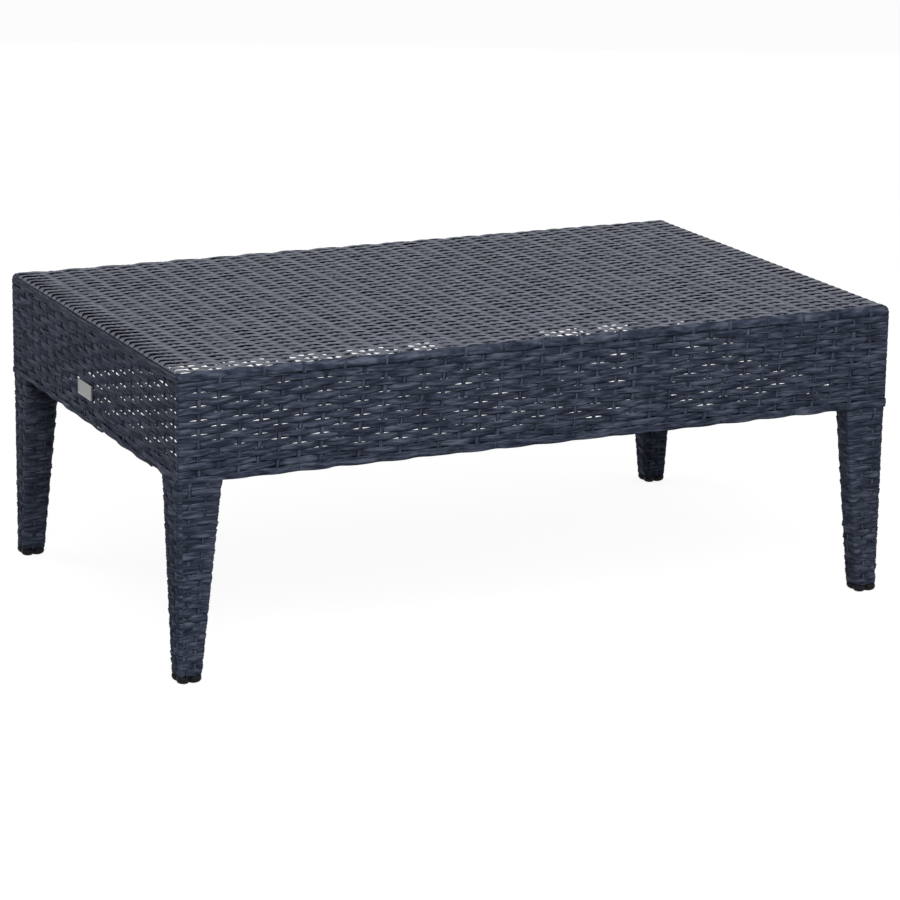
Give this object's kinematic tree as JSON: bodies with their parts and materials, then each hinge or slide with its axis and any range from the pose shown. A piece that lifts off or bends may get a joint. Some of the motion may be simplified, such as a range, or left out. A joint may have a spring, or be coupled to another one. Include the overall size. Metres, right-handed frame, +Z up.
{
  "type": "garden coffee table",
  "caption": "Rectangular garden coffee table of moulded wicker-look resin, with deep aprons, an open underside and tapered corner legs on lobed feet.",
  "frame": {"origin": "on the floor under the centre of the table top", "axes": "+X along the length of the top, +Y across it, +Z up; the label plate is on the -X apron"},
  "size_m": [0.97, 0.6, 0.38],
  "materials": {
    "wicker_resin": "moulded resin with a woven relief and fine strand grain, semi-matt",
    "brace_steel": "black powder coat",
    "zinc_steel": "zinc plated",
    "foot_rubber": "matt black rubber",
    "label_metal": "silver, fine brushed, blank"
  },
  "bodies": {
    "root": {"table_top_shell": "wicker_resin", "centre_brace": "brace_steel", "brace_screws": "zinc_steel", "leg_front_left": "wicker_resin", "leg_front_right": "wicker_resin", "leg_back_left": "wicker_resin", "leg_back_right": "wicker_resin", "foot_front_left": "foot_rubber", "foot_front_right": "foot_rubber", "foot_back_left": "foot_rubber", "foot_back_right": "foot_rubber", "leg_bolts_front_left": "zinc_steel", "leg_bolts_front_right": "zinc_steel", "leg_bolts_back_left": "zinc_steel", "leg_bolts_back_right": "zinc_steel", "leg_washers_front_left": "zinc_steel", "leg_washers_front_right": "zinc_steel", "leg_washers_back_left": "zinc_steel", "leg_washers_back_right": "zinc_steel", "leg_nuts_front_left": "zinc_steel", "leg_nuts_front_right": "zinc_steel", "leg_nuts_back_left": "zinc_steel", "leg_nuts_back_right": "zinc_steel", "label_plate": "label_metal", "label_clips": "zinc_steel"}
  },
  "joints": []
}
